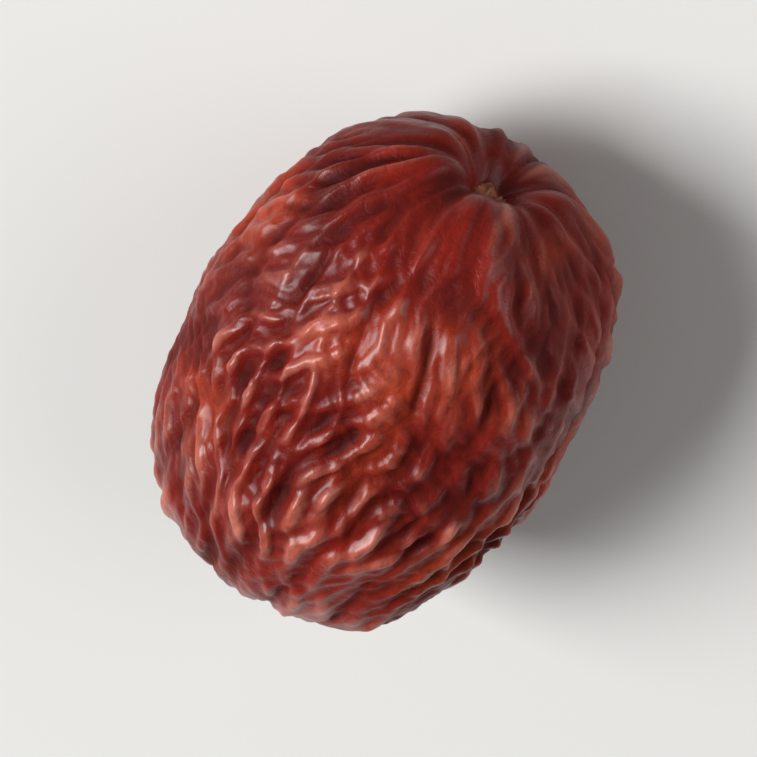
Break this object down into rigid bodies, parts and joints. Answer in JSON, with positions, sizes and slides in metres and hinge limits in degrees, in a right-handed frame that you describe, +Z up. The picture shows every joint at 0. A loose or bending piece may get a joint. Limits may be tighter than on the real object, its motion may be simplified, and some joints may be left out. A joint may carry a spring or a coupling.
{
  "type": "dried jujube",
  "caption": "Small dried red jujube lying on its side: a barrel-shaped fruit with lengthwise wrinkled skin, a pleated stem cavity and a dimpled tip.",
  "frame": {"origin": "under the middle of the fruit, on the surface that it lies on", "axes": "+X along the fruit towards its stem end, +Y across it, +Z up from the surface that it lies on"},
  "size_m": [0.0266, 0.0194, 0.0175],
  "materials": {
    "dried_skin": "semi-gloss"
  },
  "bodies": {
    "root": {"fruit": "dried_skin"}
  },
  "joints": []
}
